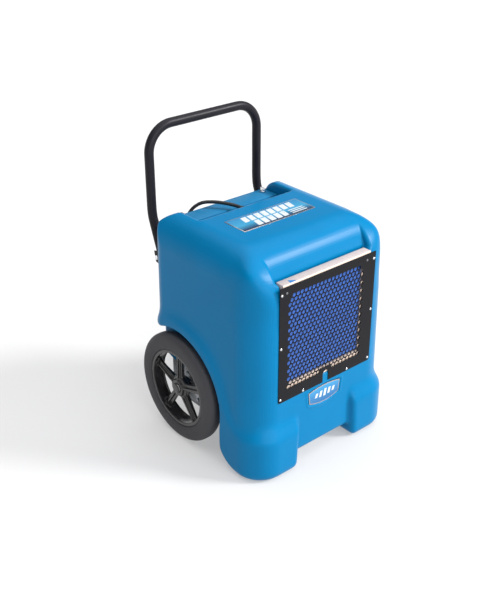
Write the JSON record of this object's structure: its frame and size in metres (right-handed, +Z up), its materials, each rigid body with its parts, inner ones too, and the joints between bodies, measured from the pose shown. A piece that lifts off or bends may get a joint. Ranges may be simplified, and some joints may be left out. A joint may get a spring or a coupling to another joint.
{
  "type": "dehumidifier",
  "caption": "Wheeled commercial dehumidifier: rotomoulded cabinet on a steel chassis, fold-back tubular handle, slide-out front filter, fan, refrigeration and pump inside.",
  "frame": {"origin": "on the ground, below the centre of the object's box without its mains lead", "axes": "+Z up, +X to the right seen from the front, -Y to the front with the air intake, +Y to the rear with the handle"},
  "size_m": [0.5148, 0.676, 0.831],
  "materials": {
    "cabinet_blue": "rotomoulded polyethylene, satin",
    "panel_blue": "powder coat, satin",
    "black_steel": "black powder coat, semi-gloss",
    "label": "printed film, gloss",
    "badge": "printed emblem, gloss",
    "filter_card": "bleached cardboard",
    "filter_media": "non-woven blue filter fibre",
    "coil_fins": "bare aluminium",
    "black_plastic": "moulded, matt",
    "white_plastic": "moulded, matt",
    "compressor_black": "black enamel",
    "black_rubber": "matt",
    "copper": "bare copper",
    "galvanised": "galvanised",
    "bright_steel": "zinc or chrome plated",
    "brass": "bare brass",
    "board": "circuit board",
    "display": "display window, gloss",
    "button_grey": "moulded silicone",
    "rocker_red": "moulded, gloss",
    "handle_black": "black powder coat, semi-gloss",
    "cord": "black jacket, satin",
    "tie": "hook and loop strap",
    "plug": "moulded",
    "rim_black": "moulded, gloss",
    "tyre_grey": "grey solid rubber"
  },
  "bodies": {
    "cabinet": {"housing": "cabinet_blue", "rear_panel": "panel_blue", "exhaust_grille": "black_steel", "intake_grille": "black_steel", "label_plate": "label", "badge": "badge", "evaporator_coil": "coil_fins", "condenser_coil": "coil_fins", "drain_pan": "black_plastic", "compressor": "compressor_black", "compressor_mount_1": "black_rubber", "compressor_mount_2": "black_rubber", "compressor_mount_3": "black_rubber", "accumulator": "compressor_black", "suction_line": "copper", "discharge_line": "copper", "fan_shroud": "galvanised", "motor_bracket": "galvanised", "fan_motor": "compressor_black", "pump_tank": "white_plastic", "pump_motor": "black_plastic", "pan_hose": "black_rubber", "drain_fitting": "brass", "control_box": "galvanised", "control_board": "board", "control_panel": "black_plastic", "display_window": "display", "base_frame": "galvanised", "axle_bracket_left": "galvanised", "axle_bracket_right": "galvanised", "axle_left": "bright_steel", "axle_right": "bright_steel", "axle_cap_left": "rim_black", "axle_cap_right": "rim_black", "handle_bracket_left": "black_steel", "handle_bracket_right": "black_steel", "pivot_bolt_left": "bright_steel", "pivot_bolt_right": "bright_steel", "strain_relief": "black_rubber", "cord_run": "cord", "cord_coil": "cord", "cord_tie": "tie", "plug": "plug"},
    "handle": {"handle": "handle_black"},
    "wheel_left": {"wheel_rim_left": "rim_black", "tyre_left": "tyre_grey", "wheel_bush_left": "white_plastic"},
    "wheel_right": {"wheel_rim_right": "rim_black", "tyre_right": "tyre_grey", "wheel_bush_right": "white_plastic"},
    "fan": {"fan_shaft": "bright_steel", "fan_blade": "coil_fins"},
    "air_filter": {"filter_frame": "filter_card", "filter_media": "filter_media"},
    "latch_left": {"panel_latch_left": "bright_steel"},
    "latch_right": {"panel_latch_right": "bright_steel"},
    "button_a": {"button_1": "button_grey"},
    "button_b": {"button_2": "button_grey"},
    "button_c": {"button_3": "button_grey"},
    "rocker": {"power_rocker": "rocker_red"}
  },
  "joints": [
    {"name": "handle_fold", "type": "hinge", "parent": "cabinet", "child": "handle", "pos_m": [0, 0.204, 0.478], "axis": [-1, 0, 0], "range_deg": [0, 160]},
    {"name": "wheel_left_spin", "type": "hinge", "parent": "cabinet", "child": "wheel_left", "pos_m": [-0.2349, 0.0687, 0.155], "axis": [1, 0, 0], "continuous": true},
    {"name": "wheel_right_spin", "type": "hinge", "parent": "cabinet", "child": "wheel_right", "pos_m": [0.2349, 0.0687, 0.155], "axis": [1, 0, 0], "continuous": true},
    {"name": "fan_spin", "type": "hinge", "parent": "cabinet", "child": "fan", "pos_m": [0, -0.03, 0.388], "axis": [0, 1, 0], "continuous": true},
    {"name": "filter_lift", "type": "slide", "parent": "cabinet", "child": "air_filter", "axis": [0, 0, 1], "range_m": [0, 0.31]},
    {"name": "latch_left_turn", "type": "hinge", "parent": "cabinet", "child": "latch_left", "pos_m": [-0.138, 0.164, 0.594], "axis": [0, 0, 1], "range_deg": [0, 90]},
    {"name": "latch_right_turn", "type": "hinge", "parent": "cabinet", "child": "latch_right", "pos_m": [0.138, 0.164, 0.594], "axis": [0, 0, -1], "range_deg": [0, 90]},
    {"name": "button_a_press", "type": "slide", "parent": "cabinet", "child": "button_a", "axis": [0, -1, 0], "range_m": [0, 0.002], "stiffness_N_per_m": 400},
    {"name": "button_b_press", "type": "slide", "parent": "cabinet", "child": "button_b", "axis": [0, -1, 0], "range_m": [0, 0.002], "stiffness_N_per_m": 400},
    {"name": "button_c_press", "type": "slide", "parent": "cabinet", "child": "button_c", "axis": [0, -1, 0], "range_m": [0, 0.002], "stiffness_N_per_m": 400},
    {"name": "rocker_tilt", "type": "hinge", "parent": "cabinet", "child": "rocker", "pos_m": [-0.044, 0.1845, 0.492], "axis": [1, 0, 0], "range_deg": [0, 14]}
  ]
}
